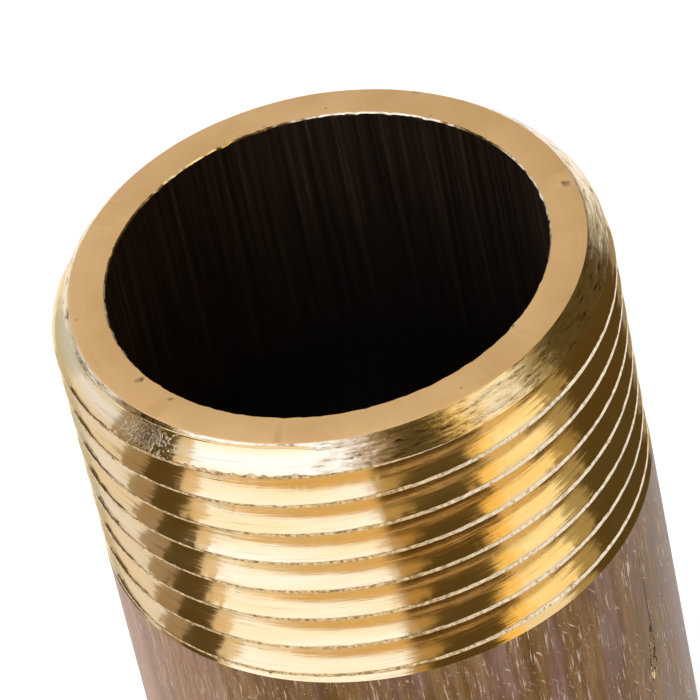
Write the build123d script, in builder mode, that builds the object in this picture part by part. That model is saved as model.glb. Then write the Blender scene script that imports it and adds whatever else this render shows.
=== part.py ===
from build123d import *
from build123d.topology import SkipClean
import os
from math import radians, tan

# A brass barrel nipple: one length of drawn tube with a parallel pipe thread cut on each end.
#
# The frame is in millimetres. +Z runs along the tube and the origin is the centre of the lower
# end face, so the nipple stands on its end. The front of the tube is -Y.

# Driving dimensions. The thread is the 3/4 inch parallel pipe thread, 14 turns to the inch.
overall_length = 60.0
outside_diameter = 26.441
bore_diameter = 20.8
pitch = 25.4 / 14
flank_angle = 27.5  # each flank, from a plane square to the tube
thread_depth = 0.640327 * pitch
sharp_height = 0.960491 * pitch  # of the triangle that the thread form is cut from
thread_length = 14.26  # from the end face to where the last cut fades out
runout_length = 1.15  # the part of that over which the root is lifted to the surface
end_chamfer = 1.07  # 45 degrees, down to just above the thread root
entry_relief = 0.02  # how much smaller in radius the crests are at the end face than at the barrel
front_crest_depth = 1.036  # the first crest below the end face, at the front of the tube

# The thread cutter reaches past the metal, and leaves the plain barrel alone.
proud = 0.2
turns_above_face = 2
turns_past_runout = 2

# Sizes that follow from them
outside_radius = outside_diameter / 2
bore_radius = bore_diameter / 2
root_line_radius = outside_radius - thread_depth
face_crest_radius = outside_radius - entry_relief
flank_run = tan(radians(flank_angle))
flat_width = flank_run * (sharp_height - thread_depth)  # of the crest, and of the root
fade_height = overall_length - thread_length
turns = round(thread_length / pitch) + turns_above_face + turns_past_runout


def threading_cutter():
    """The metal that the die removes from the upper end: a right-hand helical groove.

    Its section is two flanks and a flat root, and a ridge as wide as that root is left between
    turns. Nothing is cut below a cone that meets the surface where the thread fades out.
    """
    # The section is at the side of the tube, a quarter of a turn round from the front.
    front_crest = overall_length - front_crest_depth
    foot = front_crest + (0.25 + 0.5 + turns_above_face - turns) * pitch
    mouth_radius = outside_radius + proud
    half_root = flat_width / 2
    half_mouth = half_root + (mouth_radius - root_line_radius) * flank_run
    with SkipClean(), BuildPart() as cutter:
        with BuildLine() as path:
            Helix(pitch, turns * pitch, outside_radius, center=(0, 0, foot))
        with BuildSketch(Plane.XZ):
            with BuildLine():
                Polyline(
                    (root_line_radius, foot - half_root),
                    (root_line_radius, foot + half_root),
                    (mouth_radius, foot + half_mouth),
                    (mouth_radius, foot - half_mouth),
                    close=True,
                )
            make_face()
        sweep(path=path.line, is_frenet=True, clean=False)

        outer_radius = outside_radius + pitch
        cone_slope = runout_length / thread_depth
        above = overall_length + 2 * turns_above_face * pitch
        with BuildSketch(Plane.XZ):
            with BuildLine():
                Polyline(
                    (bore_radius, fade_height + (outside_radius - bore_radius) * cone_slope),
                    (outer_radius, fade_height + (outside_radius - outer_radius) * cone_slope),
                    (outer_radius, above),
                    (bore_radius, above),
                    close=True,
                )
            make_face()
        revolve(axis=Axis.Z, mode=Mode.INTERSECT, clean=False)
    return cutter.part.solid()


def wall_outline():
    """Half of the tube's section, with both ends turned down for the die and chamfered."""
    plain_top = fade_height - proud
    plain_bottom = overall_length - plain_top
    Polyline(
        (bore_radius, 0),
        (face_crest_radius - end_chamfer, 0),
        (face_crest_radius, end_chamfer),
        (outside_radius, plain_bottom),
        (outside_radius, plain_top),
        (face_crest_radius, overall_length - end_chamfer),
        (face_crest_radius - end_chamfer, overall_length),
        (bore_radius, overall_length),
        close=True,
    )


upper_cut = threading_cutter()

# The tube, then a thread on each end. Turned end for end, a right-hand thread is still right-hand.
with BuildPart() as nipple_body:
    with BuildSketch(Plane.XZ):
        with BuildLine():
            wall_outline()
        make_face()
    revolve(axis=Axis.Z)
    with SkipClean():
        add(upper_cut, mode=Mode.SUBTRACT)
        add(upper_cut.moved(Location((0, 0, overall_length), (180, 0, 0))), mode=Mode.SUBTRACT)
nipple_body.part.label = "nipple_body"

os.makedirs("parts", exist_ok=True)
export_step(nipple_body.part, "parts/nipple_body.step")
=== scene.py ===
import bmesh
import bpy
from math import atan2, ceil, cos, degrees, hypot, pi, radians, sin, tan
from mathutils import Matrix, Vector, noise
from random import Random


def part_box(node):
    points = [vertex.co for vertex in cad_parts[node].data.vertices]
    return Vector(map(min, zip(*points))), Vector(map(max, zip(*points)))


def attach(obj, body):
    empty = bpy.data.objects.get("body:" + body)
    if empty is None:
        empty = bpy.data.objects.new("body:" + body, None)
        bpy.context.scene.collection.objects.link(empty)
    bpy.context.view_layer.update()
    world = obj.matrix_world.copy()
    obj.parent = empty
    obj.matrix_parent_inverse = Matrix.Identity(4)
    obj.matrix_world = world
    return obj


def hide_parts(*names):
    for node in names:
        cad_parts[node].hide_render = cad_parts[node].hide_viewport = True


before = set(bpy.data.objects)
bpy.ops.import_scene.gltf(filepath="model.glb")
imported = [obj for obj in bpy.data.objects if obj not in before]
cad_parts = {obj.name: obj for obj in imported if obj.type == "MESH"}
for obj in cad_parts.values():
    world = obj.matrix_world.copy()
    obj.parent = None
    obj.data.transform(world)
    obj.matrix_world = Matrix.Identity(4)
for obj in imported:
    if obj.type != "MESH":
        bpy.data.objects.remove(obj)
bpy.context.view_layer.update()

# A brass barrel nipple: drawn tube, tarnished brown outside and in the bore, with a bright
# parallel pipe thread freshly cut on each end. The mesh is worked out in millimetres and turned
# into metres at the end. +Z runs along the tube and the front is -Y. An angle round the tube is
# in degrees from the front, growing towards +X.

MM = 0.001
low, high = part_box("nipple_body")

# Sizes of the tube and its thread, as cut
length = (high.z - low.z) / MM
barrel_radius = (high.x - low.x) / 2 / MM
bore_radius = 10.4
face_radius = 12.15
chamfer = 1.07
pitch = 25.4 / 14
thread_depth = 0.640327 * pitch
cut_depth = 1.09  # as cut, by a worn die that leaves the groove open and shallow
root_arc_radius = 0.14
thread_length = 14.26
runout_length = 1.15
front_crest = length - 1.036  # height of the first crest below the end face, at the front
crest_relief = 0.03  # how far the crests lie under the drawn skin
crest_radius = barrel_radius - crest_relief
root_radius = barrel_radius - cut_depth
flank_at_crest = 33.5  # degrees from square; the worn die leaves the flanks a little hollow
flank_at_root = 38.5
crest_edge = 0.02  # broken edge on the crests
crest_widening = 0.07  # how far each edge of a crest is moved out where the crests are widest
wide_crest_angle = 42  # where they are widest
wide_crest_reach = 100  # degrees over which they narrow again, to either side
feather_angle = -28  # middle of the first crest's thin and ragged stretch
feather_reach = 50  # degrees over which it grows whole again, to either side
groove_end = 8  # angle at which the groove above the first crest runs out
groove_taper = 26  # degrees over which it grows shallower
torn_angle = -50  # where the first, feather-edged turn tore beside the end face
face_edge = 0.02  # broken edge between the end face and the chamfer
rim_width = 0.08  # how far the ragged rim of the bore spreads on the end face
rim_height = 0.06  # and how far it reaches down the bore
rod_beyond_face = 0.6  # how far the threaded rods reach past the end face and the run-out
rod_beyond_runout = 0.9
weld_distance = 5e-4  # vertices closer than this are welded at the end
sharp_edge = 32  # degrees at which shading breaks

finishes = ["thread", "chamfer", "cut_face", "bore", "skin"]


# Mesh helpers

def linked_object(name, data):
    made = bpy.data.objects.new(name, data)
    bpy.context.scene.collection.objects.link(made)
    return made


def object_from(name, bm):
    mesh = bpy.data.meshes.new(name)
    bm.normal_update()
    bm.to_mesh(mesh)
    bm.free()
    for finish in finishes:
        mesh.materials.append(materials[finish])
    return linked_object(name, mesh)


def combine(base, other, operation):
    """base, joined with or cut by other, which is used up."""
    cut = base.modifiers.new("cut", "BOOLEAN")
    cut.operation = operation
    cut.solver = "MANIFOLD"
    cut.object = other
    bpy.context.view_layer.update()
    evaluated = base.evaluated_get(bpy.context.evaluated_depsgraph_get())
    mesh = bpy.data.meshes.new_from_object(evaluated)
    base.modifiers.clear()
    base.data = mesh
    bpy.data.objects.remove(other)
    return base


def chain(bm, points):
    """An open line of edges in the front half plane, through (radius, height) points."""
    line = [bm.verts.new((0, -radius, height)) for radius, height in points]
    for first, second in zip(line, line[1:]):
        bm.edges.new((first, second))
    return line


def spin(bm, steps, climb=0):
    """Turns the edges once round the tube's axis, rising by climb."""
    bmesh.ops.spin(bm, geom=bm.verts[:] + bm.edges[:], cent=(0, 0, 0), axis=(0, 0, 1),
                   dvec=(0, 0, climb / steps), angle=2 * pi, steps=steps, use_merge=climb == 0)


def turned(points, steps, ring):
    """A solid turned from (radius, height) points: a ring, or a line capped at both ends."""
    bm = bmesh.new()
    line = chain(bm, points)
    if ring:
        bm.edges.new((line[-1], line[0]))
    spin(bm, steps)
    bmesh.ops.remove_doubles(bm, verts=bm.verts[:], dist=1e-5)
    if not ring:
        bmesh.ops.holes_fill(bm, edges=bm.edges[:], sides=0)
    bmesh.ops.recalc_face_normals(bm, faces=bm.faces[:])
    return bm


def round_tube(point):
    """Degrees round the tube from the front."""
    return degrees(atan2(point.x, -point.y))


def bump(value, middle, reach):
    """1 at the middle, falling smoothly to 0 at reach from it."""
    share = min(1, abs(value - middle) / reach)
    return (1 + cos(pi * share)) / 2


# The thread

def thread_section(flank_steps, arc_steps):
    """One pitch of the thread as (radius, height), down from the upper edge of a crest."""
    arc_half = radians(90 - flank_at_root)
    arc_middle = root_radius + root_arc_radius
    flank_reach = crest_radius - (arc_middle - root_arc_radius * cos(arc_half))
    hollow = (tan(radians(flank_at_root)) - tan(radians(flank_at_crest))) / 2 / flank_reach

    def run(depth):
        return depth * tan(radians(flank_at_crest)) + hollow * depth * depth

    half_crest = pitch / 2 - root_arc_radius * sin(arc_half) - run(flank_reach)
    half_flat = half_crest - crest_edge
    depths = [crest_edge + (flank_reach - crest_edge) * i / flank_steps
              for i in range(flank_steps)]
    points = [(crest_radius, half_flat), (crest_radius, -half_flat)]
    points += [(crest_radius - depth, -half_crest - run(depth)) for depth in depths]
    for i in range(arc_steps + 1):
        angle = arc_half * (1 - 2 * i / arc_steps)
        points.append((arc_middle - root_arc_radius * cos(angle),
                       -pitch / 2 + root_arc_radius * sin(angle)))
    points += [(crest_radius - depth, -pitch + half_crest + run(depth))
               for depth in reversed(depths)]
    points.append((crest_radius, -pitch + half_flat))
    return points


def threaded_rod(steps, flank_steps, arc_steps, seed):
    """A solid rod with the upper end's thread on it, flat at both ends."""
    top = length + rod_beyond_face
    bottom = length - thread_length - rod_beyond_runout
    turns = ceil((top - bottom) / pitch) + 2
    first_crest = front_crest + ceil((top - front_crest) / pitch) * pitch - turns * pitch + pitch
    bm = bmesh.new()
    section = thread_section(flank_steps, arc_steps)
    chain(bm, [(radius, first_crest + height) for radius, height in section])
    spin(bm, steps, climb=pitch)
    one_turn = bm.verts[:] + bm.edges[:] + bm.faces[:]
    for turn in range(1, turns):
        copied = bmesh.ops.duplicate(bm, geom=one_turn)["geom"]
        raised = [v for v in copied if isinstance(v, bmesh.types.BMVert)]
        bmesh.ops.translate(bm, verts=raised, vec=(0, 0, turn * pitch))
    bmesh.ops.remove_doubles(bm, verts=bm.verts[:], dist=1e-3)
    roughen_crests(bm, seed)
    for height, side in ((top, 1), (bottom, -1)):
        sliced = bmesh.ops.bisect_plane(
            bm, geom=bm.verts[:] + bm.edges[:] + bm.faces[:], dist=1e-5,
            plane_co=(0, 0, height), plane_no=(0, 0, side), clear_outer=True)
        rim = [e for e in sliced["geom_cut"] if isinstance(e, bmesh.types.BMEdge)]
        bmesh.ops.contextual_create(bm, geom=rim)
    bmesh.ops.recalc_face_normals(bm, faces=bm.faces[:])
    return bm


def roughen_crests(bm, seed):
    """Widens the crests on one side, rags their edges and runs the first groove out.

    turn counts the crests down from the first, and side is 1 above the nearest crest and -1
    below it. share is 0 at the root and 1 at the crest.
    """
    shift = Vector((seed * 31.7, 0, 0))
    for vert in bm.verts:
        radius = hypot(vert.co.x, vert.co.y)
        angle = round_tube(vert.co)
        turn = (front_crest - vert.co.z) / pitch + angle / 360
        side = 1 if round(turn) > turn else -1
        share = (radius - root_radius) / (crest_radius - root_radius)
        widening = crest_widening * bump(angle, wide_crest_angle, wide_crest_reach)
        vert.co.z += side * share * widening
        moved = -0.012 * noise.noise(vert.co * 1.3 + shift) * (1 - share)
        if radius > crest_radius - 2 * crest_edge:
            rag = noise.noise(vert.co * 2.3 + shift)
            fine = noise.noise(vert.co * 6.5 + shift)
            worn = 0.02 * max(0, rag) + 0.02 * abs(fine)
            if round(turn) == 0:
                worn += 0.14 * max(0, fine + 0.1) * bump(angle, feather_angle, feather_reach)
            vert.co.z += side * worn * tan(radians(flank_at_crest)) + 0.02 * fine
            moved -= worn
        if turn < -0.1 and angle > groove_end - groove_taper:
            closed = bump(min(angle, groove_end), groove_end, groove_taper)
            moved += closed * (barrel_radius + 0.2 - radius)
        vert.co.x *= (radius + moved) / radius
        vert.co.y *= (radius + moved) / radius


def burrs(count, seed):
    """Slivers of swarf left standing on the crests, most of them on the side towards +X."""
    draw = Random(seed)
    bm = bmesh.new()
    for _ in range(count):
        angle = draw.choice((-1, 1, 1, 1)) * draw.triangular(12, 77, 35)
        turn = draw.choice((1, 1, 2, 3, 4, 4, 5, 6, 6, 7))
        height = front_crest - (turn - angle / 360) * pitch + draw.choice((0.08, -0.06))
        long = draw.uniform(0.1, 0.3)
        lean = Matrix.Rotation(radians(draw.uniform(-70, 70)), 4, "Y")
        tilt = Matrix.Rotation(radians(draw.uniform(10, 50)), 4, "X")
        place = Matrix.Translation((0, -crest_radius, height))
        around = Matrix.Rotation(radians(angle), 4, "Z")
        bmesh.ops.create_cone(bm, cap_ends=True, segments=5, radius1=0.05, radius2=0.006,
                              depth=long, matrix=around @ place @ lean @ tilt)
    bmesh.ops.recalc_face_normals(bm, faces=bm.faces[:])
    return bm


def vice_marks(count, seed):
    """Cutters for the torn bite that a vice's jaw left in the barrel, on the right."""
    draw = Random(seed)
    bm = bmesh.new()
    for _ in range(count):
        half_width = draw.uniform(0.12, 0.25)
        half_length = draw.uniform(0.2, 0.6)
        size = Matrix.Diagonal((half_width, 0.2, half_length, 1))
        place = Matrix.Translation((0, -barrel_radius - 0.01, draw.uniform(36.5, 38.9)))
        turn = Matrix.Rotation(radians(draw.uniform(55.3, 58.1)), 4, "Z")
        tip = Matrix.Rotation(radians(draw.uniform(-14, 14)), 4, "Y")
        bmesh.ops.create_icosphere(bm, subdivisions=2, radius=1,
                                   matrix=turn @ place @ tip @ size)
    for vert in bm.verts:
        vert.co += noise.noise_vector(vert.co * 6) * 0.06
    for face in bm.faces:
        face.material_index = finishes.index("chamfer")
    return bm


def unthreaded_core(steps):
    """What the die leaves between the two run-outs, wider than the tube and solid."""
    slope = runout_length / thread_depth
    fade_height = length - thread_length
    inner = root_radius - 0.5
    outer = barrel_radius + 1
    inner_height = fade_height + (barrel_radius - inner) * slope
    outer_height = fade_height + (barrel_radius - outer) * slope
    points = [(inner, inner_height), (outer, outer_height),
              (outer, length - outer_height), (inner, length - inner_height)]
    return turned(points, steps, ring=False)


# The tube

def blank_outline(bore_rings, chamfer_rings):
    """The tube's section as (radius, height), up the bore, over the top and down the outside."""
    upper = [(bore_radius, length - depth) for depth in bore_rings]
    upper += [(bore_radius + 0.01, length - rim_height), (bore_radius + rim_width, length)]
    upper += [(face_radius - 0.07, length), (face_radius, length - face_edge)]
    for i in range(1, chamfer_rings + 1):
        down = chamfer * i / chamfer_rings
        upper.append((face_radius + (barrel_radius - face_radius) * i / chamfer_rings,
                      length - max(down, 0.03)))
    upper.append((barrel_radius, length - thread_length + 0.2))
    lower = [(radius, length - height) for radius, height in reversed(upper)]
    return upper + lower


def tube_blank(steps):
    """The tube before it is threaded, with the finishes of its four surfaces."""
    outline = blank_outline(bore_rings=(20, 8, 3, 1, 0.35, 0.15), chamfer_rings=9)
    bm = turned(outline, steps, ring=True)
    for face in bm.faces:
        middle = face.calc_center_median()
        radius = hypot(middle.x, middle.y)
        depth = min(middle.z, length - middle.z)
        finish = "chamfer"
        if radius < bore_radius + 0.02:
            finish = "bore"
        elif radius > barrel_radius - 0.01:
            finish = "skin"
        elif bore_radius + rim_width <= radius < face_radius and depth < 0.03:
            finish = "cut_face"
        face.material_index = finishes.index(finish)
    roughen_blank(bm)
    return bm


def roughen_blank(bm):
    """Chatter on the chamfers and a ragged burr round each rim of the bore."""
    for vert in bm.verts:
        radius = hypot(vert.co.x, vert.co.y)
        depth = min(vert.co.z, length - vert.co.z)
        upper = 1 if vert.co.z > length / 2 else -1
        out = Vector((vert.co.x, vert.co.y, 0)) / radius
        if radius < bore_radius + 0.1 and depth < 0.2:
            rag = noise.noise(vert.co * 1.9) + 0.6 * noise.noise(vert.co * 5.3)
            vert.co -= out * 0.08 * max(0, rag)
            vert.co.z -= upper * 0.04 * abs(rag)
        elif face_radius < radius < barrel_radius - 0.02 and depth < chamfer + 0.05:
            direction = out * 3 + Vector((0, 0, radius * 6))
            chatter = noise.noise(direction) + 0.5 * noise.noise(direction * 2.7)
            vert.co -= (out + Vector((0, 0, upper))) * 0.016 * (chatter + 0.6)


def nipple():
    """The blank, cut with the vice's marks and the die's two threads, with burrs left on."""
    blank = object_from("nipple", tube_blank(steps=480))
    upper_mesh = threaded_rod(steps=400, flank_steps=4, arc_steps=5, seed=1)
    upper = object_from("upper_rod", upper_mesh)
    lower_mesh = threaded_rod(steps=300, flank_steps=3, arc_steps=3, seed=2)
    bmesh.ops.rotate(lower_mesh, verts=lower_mesh.verts[:], cent=(0, 0, length / 2),
                     matrix=Matrix.Rotation(pi, 3, "X"))
    lower = object_from("lower_rod", lower_mesh)
    core = object_from("core", unthreaded_core(steps=400))
    bites = object_from("vice_marks", vice_marks(count=16, seed=4))
    slivers = object_from("burrs", burrs(count=44, seed=5))
    die_cut = combine(combine(core, upper, "UNION"), lower, "UNION")
    blank = combine(blank, bites, "DIFFERENCE")
    whole = combine(blank, die_cut, "INTERSECT")
    whole = combine(whole, slivers, "UNION")
    weld(whole.data)
    return whole


def weld(mesh):
    """Welds what the cuts left almost touching, turns the mesh into metres and shades it."""
    bm = bmesh.new()
    bm.from_mesh(mesh)
    bmesh.ops.remove_doubles(bm, verts=bm.verts[:], dist=weld_distance)
    bmesh.ops.triangulate(bm, faces=[f for f in bm.faces if len(f.verts) > 4])
    bm.to_mesh(mesh)
    bm.free()
    mesh.transform(Matrix.Scale(MM, 4))
    mesh.shade_smooth()
    mesh.set_sharp_from_angle(angle=radians(sharp_edge))


# Materials

class Finish:
    """A material being made: its node tree, its shader and short ways to add nodes."""

    def __init__(self, name, metallic, roughness):
        self.material = bpy.data.materials.new(name)
        self.material.use_nodes = True
        self.tree = self.material.node_tree
        self.shader = self.tree.nodes["Principled BSDF"]
        self.shader.inputs["Metallic"].default_value = metallic
        self.shader.inputs["Roughness"].default_value = roughness
        self.place = self.node("TexCoord").outputs["Object"]

    def node(self, kind):
        return self.tree.nodes.new("ShaderNode" + kind)

    def link(self, out, target):
        self.tree.links.new(out, target)

    def feed(self, value, target):
        """Gives an input a number, a tuple of numbers or another node's output."""
        if isinstance(value, (int, float, tuple)):
            target.default_value = value
        else:
            self.link(value, target)

    def vector(self, operation, first, second=None, scale=None):
        node = self.node("VectorMath")
        node.operation = operation
        self.link(first, node.inputs[0])
        if second is not None:
            self.feed(second, node.inputs[1])
        if scale is not None:
            self.feed(scale, node.inputs["Scale"])
        return node.outputs["Value" if operation in ("LENGTH", "DOT_PRODUCT") else "Vector"]

    def math(self, operation, first, second=0):
        node = self.node("Math")
        node.operation = operation
        self.feed(first, node.inputs[0])
        self.feed(second, node.inputs[1])
        return node.outputs["Value"]

    def round_the_tube(self, around, across, along):
        """Coordinates for marks that run round the tube, seamless.

        around, across and along are how fast the pattern changes round the tube, with the
        radius and with the height, per radian and per millimetre.
        """
        flat = self.vector("MULTIPLY", self.place, (1 / MM, 1 / MM, 0))
        direction = self.vector("SCALE", self.vector("NORMALIZE", flat), scale=around)
        climb = self.vector("DOT_PRODUCT", self.place, (0, 0, along / MM))
        rise = self.math("ADD", self.math("MULTIPLY", self.radius(), across), climb)
        lift = self.node("CombineXYZ")
        self.link(rise, lift.inputs["Z"])
        return self.vector("ADD", direction, lift.outputs["Vector"])

    def along_the_tube(self, across, along):
        """Coordinates for marks that run along the tube, changing across and along per mm."""
        return self.vector("MULTIPLY", self.place, (across / MM, across / MM, along / MM))

    def leaning(self, across, along):
        """Coordinates for scratches that cross the tube at a slant, changing per mm."""
        node = self.node("Mapping")
        self.link(self.place, node.inputs["Vector"])
        node.inputs["Rotation"].default_value = (radians(-24), radians(28), 0)
        stretch = (across / MM, across / MM, along / MM)
        return self.vector("MULTIPLY", node.outputs["Vector"], stretch)

    def noise(self, place, scale=1.0, detail=3.0, roughness=0.5):
        node = self.node("TexNoise")
        self.link(place, node.inputs["Vector"])
        node.inputs["Scale"].default_value = scale
        node.inputs["Detail"].default_value = detail
        node.inputs["Roughness"].default_value = roughness
        return node.outputs["Fac"]

    def spread(self, value, start, end, out_start=0.0, out_end=1.0):
        """value from start to end, mapped onto out_start to out_end and held beyond them."""
        node = self.node("MapRange")
        self.link(value, node.inputs["Value"])
        node.inputs["From Min"].default_value = start
        node.inputs["From Max"].default_value = end
        node.inputs["To Min"].default_value = out_start
        node.inputs["To Max"].default_value = out_end
        return node.outputs["Result"]

    def ramp(self, value, *stops):
        """Colours for a value, from (position, colour) stops."""
        node = self.node("ValToRGB")
        self.link(value, node.inputs["Fac"])
        elements = node.color_ramp.elements
        while len(elements) < len(stops):
            elements.new(0.5)
        for element, (position, colour) in zip(elements, stops):
            element.position = position
            element.color = (*colour, 1)
        return node.outputs["Color"]

    def mix(self, share, first, second):
        """first where share is 0 and second where it is 1, each a colour or an output."""
        node = self.node("Mix")
        node.data_type = "RGBA"
        self.link(share, node.inputs["Factor"])
        for value, name in ((first, "A"), (second, "B")):
            target = [s for s in node.inputs if s.name == name and s.type == "RGBA"][0]
            self.feed((*value, 1) if isinstance(value, tuple) else value, target)
        return [s for s in node.outputs if s.type == "RGBA"][0]

    def aside(self):
        """How far a point is to the right of the axis, in millimetres."""
        return self.vector("DOT_PRODUCT", self.place, (1 / MM, 0, 0))

    def height(self):
        """How high a point is on the tube, in millimetres."""
        return self.vector("DOT_PRODUCT", self.place, (0, 0, 1 / MM))

    def radius(self):
        """How far a point is from the tube's axis, in millimetres."""
        return self.vector("LENGTH", self.vector("MULTIPLY", self.place, (1 / MM, 1 / MM, 0)))

    def facing(self):
        return self.node("NewGeometry").outputs["Normal"]

    def facing_outwards(self):
        """1 where the metal faces straight out from the axis, 0 on the flanks."""
        upright = self.math("ABSOLUTE", self.vector("DOT_PRODUCT", self.facing(), (0, 0, 1)))
        return self.spread(upright, 0.35, 0.55, 1, 0)

    def torn_patch(self):
        """1 on the patch beside the end face, left of the front, where the first turn tore."""
        middle = (face_radius + 0.5) * MM
        centre = (middle * sin(radians(torn_angle)), -middle * cos(radians(torn_angle)),
                  (length - 0.45) * MM)
        apart = self.vector("LENGTH", self.vector("SUBTRACT", self.place, centre))
        near = self.spread(apart, 0.4 * MM, 2.4 * MM, 0.6, -0.6)
        speckle = self.spread(self.noise(self.place, scale=5200, detail=5), 0.3, 0.7, -0.6, 0.6)
        return self.spread(self.math("ADD", near, speckle), 0.2, 0.8)

    def dragged_round(self, streaks, reach):
        """The surface's normal, turned to and fro round the tube by the streaks.

        reach is how far at most, in radians or as a node's value.
        """
        flat = self.vector("NORMALIZE", self.vector("MULTIPLY", self.place, (1, 1, 0)))
        sideways = self.node("VectorRotate")
        sideways.rotation_type = "Z_AXIS"
        sideways.inputs["Angle"].default_value = pi / 2
        self.link(flat, sideways.inputs["Vector"])
        swing = self.math("MULTIPLY", self.spread(streaks, 0.25, 0.75, -1, 1), reach)
        shift = self.vector("SCALE", sideways.outputs["Vector"], scale=swing)
        return self.vector("NORMALIZE", self.vector("ADD", self.facing(), shift))

    def relief(self, height, depth_mm, under=None):
        """Bump of the given depth for a height of 0 to 1, on top of an earlier one."""
        node = self.node("Bump")
        node.inputs["Distance"].default_value = depth_mm * MM
        self.link(height, node.inputs["Height"])
        if under is not None:
            self.link(under, node.inputs["Normal"])
        return node.outputs["Normal"]

    def brush_round(self, strength):
        """Stretches the gloss across fine marks that run round the tube."""
        tangent = self.node("Tangent")
        tangent.direction_type = "RADIAL"
        tangent.axis = "Z"
        self.link(tangent.outputs["Tangent"], self.shader.inputs["Tangent"])
        self.shader.inputs["Anisotropic"].default_value = strength
        self.shader.inputs["Anisotropic Rotation"].default_value = 0.25

    def set(self, name, out):
        self.link(out, self.shader.inputs[name])


painted_light_brass = (0.90, 0.745, 0.49)
pale_brass = (0.90, 0.70, 0.41)
golden_brass = (0.87, 0.60, 0.27)
painted_reflection_brass = (0.88, 0.62, 0.26)
dirty_brass = (0.22, 0.14, 0.05)


def thread_brass():
    """Bright brass with the die's fine marks running round it, painted paler in the first groove
    as painted light and deeper gold near the roots as a painted reflection.
    """
    made = Finish("thread_brass", 1.0, 0.12)
    made.brush_round(0.6)
    marks = made.noise(made.round_the_tube(3.5, 12, 3), detail=4, roughness=0.6)
    streaks = made.noise(made.round_the_tube(3, 16, 4), detail=4, roughness=0.65)
    broad = made.noise(made.round_the_tube(1.2, 1.5, 0.8), detail=2)
    base = made.mix(made.spread(broad, 0.35, 0.65), golden_brass, pale_brass)
    # Painted light: the first groove, with no ridge above it, is painted paler and brighter than
    # the other grooves.
    first_groove_painted_light = made.spread(made.height(), length - 1.2, length - 0.9)
    base = made.mix(first_groove_painted_light, base, painted_light_brass)
    scored_with_painted_light = made.mix(made.spread(streaks, 0.58, 0.78, 0, 0.4), base, dirty_brass)
    # Painted reflection: near the roots the brass is painted deeper gold, standing in for light
    # bounced between the flanks.
    root_painted_reflection = made.spread(made.radius(), root_radius + 0.08, root_radius + 0.42, 0.7, 0)
    scored_with_painted_light = made.mix(root_painted_reflection, scored_with_painted_light, painted_reflection_brass)
    mottle = made.noise(made.place, scale=5200, detail=4, roughness=0.6)
    plain = made.ramp(mottle, (0.38, (0.26, 0.17, 0.08)), (0.5, (0.60, 0.41, 0.19)),
                      (0.62, (0.82, 0.60, 0.33)))
    worn = made.ramp(mottle, (0.32, (0.36, 0.27, 0.16)), (0.44, (0.80, 0.65, 0.43)),
                     (0.6, (0.92, 0.80, 0.60)))
    right_side = made.spread(made.aside(), 0.5, 6.5)
    crest_skin = made.mix(right_side, plain, worn)
    crest = made.spread(made.radius(), crest_radius - 0.12, crest_radius - 0.06)
    on_crest = made.math("MULTIPLY", crest, made.facing_outwards())
    marked_with_painted_light = made.mix(on_crest, scored_with_painted_light, crest_skin)
    torn = made.torn_patch()
    torn_skin = made.ramp(mottle, (0.49, (0.09, 0.055, 0.022)), (0.57, (0.38, 0.26, 0.12)),
                          (0.66, (0.90, 0.74, 0.48)))
    made.set("Base Color", made.mix(torn, marked_with_painted_light, torn_skin))
    rough = made.spread(streaks, 0.3, 0.7, 0.07, 0.16)
    made.set("Roughness", made.math("ADD", rough, made.math("MULTIPLY", on_crest, 0.2)))
    reach = made.spread(made.aside(), 2, 8, 0.013, 0.036)
    ridges = made.relief(marks, 0.006, made.dragged_round(streaks, reach))
    made.set("Normal", made.relief(made.math("MULTIPLY", torn, mottle), 0.015, ridges))
    return made.material


def chamfer_brass():
    """Brass turned with a chattering tool: coarser marks than on the thread."""
    made = Finish("chamfer_brass", 1.0, 0.2)
    made.brush_round(0.5)
    marks = made.noise(made.round_the_tube(14, 7, 0), detail=5, roughness=0.6)
    fine = made.noise(made.round_the_tube(8, 10, 0), detail=3)
    base = made.ramp(marks, (0.34, (0.20, 0.14, 0.07)), (0.42, (0.74, 0.57, 0.34)),
                     (0.58, (0.90, 0.75, 0.50)))
    torn = made.torn_patch()
    made.set("Base Color", made.mix(torn, base, dirty_brass))
    made.set("Roughness", made.spread(marks, 0.3, 0.7, 0.2, 0.09))
    dragged = made.dragged_round(fine, 0.035)
    made.set("Normal", made.relief(fine, 0.004, made.relief(marks, 0.02, dragged)))
    return made.material


def cut_face_brass():
    """The matte, sawn and faced end, a warm tan with faint rings and small dark nicks."""
    made = Finish("cut_face_brass", 0.4, 0.5)
    rings = made.noise(made.round_the_tube(1.5, 9, 0), detail=4)
    grain = made.noise(made.place, scale=2500, detail=4)
    clouds = made.noise(made.place, scale=260, detail=3)
    base = made.ramp(clouds, (0.3, (0.86, 0.52, 0.21)), (0.7, (1.0, 0.645, 0.285)))
    nick = made.spread(made.noise(made.place, scale=900, detail=2), 0.70, 0.76)
    made.set("Base Color", made.mix(nick, base, (0.30, 0.19, 0.09)))
    made.set("Roughness", made.spread(rings, 0.3, 0.7, 0.42, 0.58))
    made.set("Normal", made.relief(grain, 0.006, made.relief(rings, 0.008)))
    return made.material


def bore_brass():
    """Drawn bore, dark with oxide, with long streaks down it, and painted nearly black deeper in
    as painted shade.
    """
    made = Finish("bore_brass", 0.6, 0.4)
    streaks = made.noise(made.along_the_tube(3.2, 0.05), detail=5, roughness=0.65)
    colour = made.ramp(streaks, (0.38, (0.03, 0.018, 0.011)), (0.58, (0.09, 0.052, 0.028)),
                       (0.72, (0.22, 0.14, 0.08)))
    # Painted shade: deeper than about 4 to 15 mm below the end face the bore is painted darker,
    # where shade falls inside it.
    clear_of_painted_shade = made.spread(made.height(), length - 15, length - 4)
    made.set("Base Color", made.mix(clear_of_painted_shade, (0.022, 0.013, 0.008), colour))
    made.set("Roughness", made.spread(streaks, 0.3, 0.7, 0.5, 0.34))
    made.set("Normal", made.relief(streaks, 0.02))
    return made.material


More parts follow.
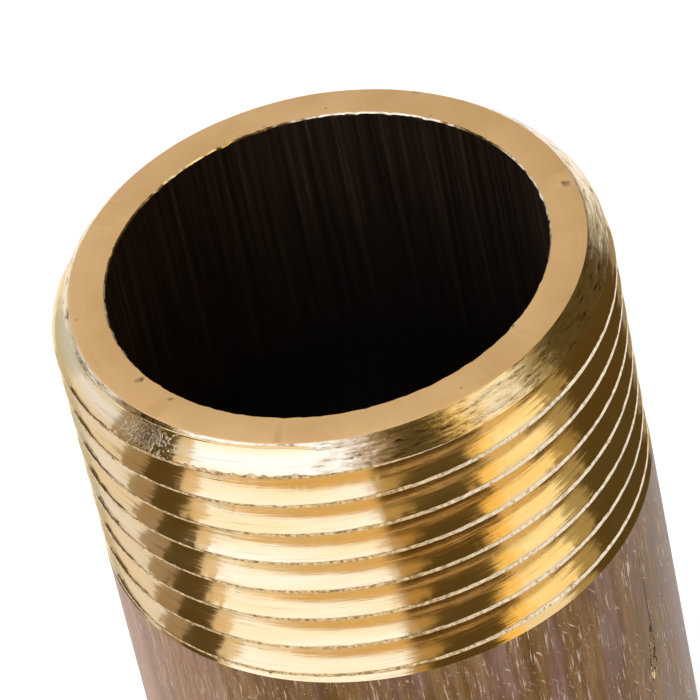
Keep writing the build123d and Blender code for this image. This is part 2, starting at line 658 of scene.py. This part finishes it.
def tarnished_skin():
    """The drawn outside, tarnished brown and rose in streaks, with bright specks of brass, and a
    painted sheen that makes the left side paler.
    """
    made = Finish("tarnished_skin", 0.9, 0.4)
    streaks = made.noise(made.along_the_tube(1.6, 0.14), detail=6, roughness=0.75)
    hues = made.noise(made.along_the_tube(0.5, 0.09), detail=4, roughness=0.6)
    brown = made.ramp(streaks, (0.34, (0.11, 0.052, 0.010)), (0.5, (0.17, 0.082, 0.020)),
                      (0.66, (0.28, 0.16, 0.058)))
    rose = made.ramp(streaks, (0.34, (0.14, 0.068, 0.044)), (0.5, (0.21, 0.115, 0.080)),
                     (0.66, (0.32, 0.20, 0.145)))
    tarnish_and_painted_sheen = made.mix(made.spread(hues, 0.50, 0.64), brown, rose)
    # Painted sheen: the barrel's left side is painted paler, standing in for the sheen of light on
    # it.
    pale = made.ramp(streaks, (0.34, (0.24, 0.10, 0.04)), (0.5, (0.37, 0.19, 0.09)),
                     (0.66, (0.54, 0.34, 0.20)))
    painted_sheen_side = made.spread(made.aside(), -12.6, -6.5)
    tarnish_and_painted_sheen = made.mix(painted_sheen_side, pale, tarnish_and_painted_sheen)
    scratches = made.spread(made.noise(made.along_the_tube(9, 0.8), detail=3), 0.60, 0.68)
    slants = made.noise(made.leaning(6.5, 0.5), detail=2)
    slants = made.spread(slants, 0.66, 0.73)
    specks = made.spread(made.noise(made.along_the_tube(9, 7), detail=2), 0.66, 0.74)
    patches = made.spread(made.noise(made.along_the_tube(0.7, 0.4), detail=4), 0.38, 0.6)
    marks = made.math("MAXIMUM", made.math("MAXIMUM", scratches, slants), specks)
    bare = made.math("MULTIPLY", marks, patches)
    made.set("Base Color", made.mix(bare, tarnish_and_painted_sheen, (0.62, 0.47, 0.35)))
    made.set("Roughness", made.spread(streaks, 0.3, 0.7, 0.32, 0.5))
    fine = made.noise(made.along_the_tube(7, 0.8), detail=4)
    made.set("Normal", made.relief(fine, 0.012, made.relief(streaks, 0.03)))
    return made.material


def stage_white():
    """The studio's pale paper."""
    made = Finish("stage_white", 0.0, 0.9)
    made.shader.inputs["Base Color"].default_value = (0.9, 0.9, 0.9, 1)
    made.shader.inputs["Emission Color"].default_value = (0.93, 0.96, 1, 1)
    made.shader.inputs["Emission Strength"].default_value = 0.4
    return made.material


def panel_light(name, colour, radiance):
    made = bpy.data.materials.new(name)
    made.use_nodes = True
    tree = made.node_tree
    tree.nodes.remove(tree.nodes["Principled BSDF"])
    glow = tree.nodes.new("ShaderNodeEmission")
    glow.inputs["Color"].default_value = (*colour, 1)
    glow.inputs["Strength"].default_value = radiance
    tree.links.new(glow.outputs["Emission"], tree.nodes["Material Output"].inputs["Surface"])
    return made


materials = {
    "thread": thread_brass(),
    "chamfer": chamfer_brass(),
    "cut_face": cut_face_brass(),
    "bore": bore_brass(),
    "skin": tarnished_skin(),
}


# The studio. Everything but the floor is at least a metre from the nipple.

def flat_panel(name, corners, material):
    bm = bmesh.new()
    bm.faces.new([bm.verts.new(corner) for corner in corners])
    mesh = bpy.data.meshes.new(name)
    bm.to_mesh(mesh)
    bm.free()
    mesh.materials.append(material)
    panel = linked_object(name, mesh)


def standing_panel(name, start, end, top, material):
    """A panel that stands on the floor, from one (x, y) place to another."""
    corners = [(*start, 0), (*end, 0), (*end, top), (*start, top)]
    flat_panel(name, corners, material)


def overhead_panel(name, corners, colour, radiance):
    """A glowing panel overhead. A corner is given as how far it is aside and behind per height."""
    height = 1.3
    places = [(aside * height, behind * height, height) for aside, behind in corners]
    flat_panel(name, places, panel_light(name + "_glow", colour, radiance))


def studio():
    reach = 8.0
    flat_panel("floor", [(-reach, -reach, 0), (reach, -reach, 0), (reach, reach, 0),
                         (-reach, reach, 0)], stage_white())
    wall = 2.2
    seam = 0.3
    wall_top = 1.1
    standing_panel("backdrop_left", (-3, wall), (seam, wall), wall_top,
                   panel_light("backdrop_left_glow", (0.87, 0.92, 1), 0.74))
    standing_panel("backdrop_right", (seam, wall), (3, wall), wall_top,
                   panel_light("backdrop_right_glow", (1, 0.93, 0.82), 0.36))
    card = panel_light("front_card_glow", (1, 0.98, 0.88), 0.9)
    card_top = 1.5
    standing_panel("left_front_card", (-3.4, -1.75), (-0.12, -3), card_top, card)
    standing_panel("right_front_card", (3.4, -1.9), (2.1, -2.35), card_top, card)
    overhead_panel("left_box", [(-0.065, -1.3), (-0.065, 0.38), (-1.9, -0.61), (-1.9, -1.3)],
                   (0.67, 0.75, 1), 1.87)
    overhead_panel("left_box_right_rim",
                   [(-0.065, -1.3), (0.07, -1.3), (0.07, 0.44), (-0.065, 0.38)],
                   (1, 0.68, 0.25), 0.5)
    overhead_panel("left_box_back_rim",
                   [(-0.065, 0.38), (-0.065, 0.536), (-1.965, -0.489), (-1.9, -0.61)],
                   (1, 0.87, 0.71), 0.86)
    overhead_panel("right_box", [(0.281, 0.05), (0.65, -0.53), (1.05, -0.30), (0.619, 0.05)],
                   (1, 0.90, 0.60), 1.2)
    overhead_panel("right_box_front", [(0.65, -0.53), (1.015, -1.1), (1.7, -0.839), (1.05, -0.30)],
                   (1, 0.96, 0.90), 1.02)
    overhead_panel("right_box_left_rim",
                   [(0.206, 0.05), (0.749, -1.1), (1.015, -1.1), (0.281, 0.05)],
                   (1, 0.71, 0.25), 1.15)
    overhead_panel("right_box_right_rim",
                   [(0.619, 0.05), (1.7, -0.839), (2.0, -0.504), (0.60, 0.253)],
                   (1, 0.80, 0.40), 0.43)
    overhead_panel("back_left_panel", [(-0.75, 0.60), (-3.2, 0.60), (-3.2, 3.0), (-0.3, 3.0)],
                   (0.82, 0.85, 1), 1.1)
    overhead_panel("back_left_rim", [(-0.6, 0.60), (-0.6, 0.405), (-3.2, 0.004), (-3.2, 0.60)],
                   (1, 0.8, 0.6), 0.38)
    fill = bpy.data.lights.new("overhead_fill", "AREA")
    fill.shape = "SQUARE"
    fill.size = 4
    fill.energy = 90
    lamp = linked_object("overhead_fill", fill)
    lamp.location = (0, 0, 3)
    lamp.visible_glossy = False
    world = bpy.data.worlds.new("studio")
    world.use_nodes = True
    around = world.node_tree.nodes["Background"]
    around.inputs["Color"].default_value = (0.098, 0.068, 0.024, 1)
    around.inputs["Strength"].default_value = 1
    bpy.context.scene.world = world
    bpy.context.scene.view_settings.view_transform = "Standard"


def camera():
    """Looks down on the upper end from the front, at 41 degrees, turned a little on its side."""
    distance = 283.0 * MM
    elevation = radians(40.75)
    roll = radians(-12.68)
    aim_aside = 0.161
    aim_below_face = 5.69
    eye = Vector((0, -distance * cos(elevation), length * MM + distance * sin(elevation)))
    aim = Vector((aim_aside, 0, length - aim_below_face)) * MM
    lens = bpy.data.cameras.new("camera")
    lens.lens = 315.7
    lens.sensor_width = 36
    lens.clip_start = 0.01
    lens.clip_end = 50
    made = linked_object("camera", lens)
    turn = (aim - eye).to_track_quat("-Z", "Y").to_matrix() @ Matrix.Rotation(roll, 3, "Z")
    made.matrix_world = Matrix.Translation(eye) @ turn.to_4x4()
    bpy.context.scene.camera = made


studio()
camera()
piece = nipple()
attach(piece, "root")
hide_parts("nipple_body")
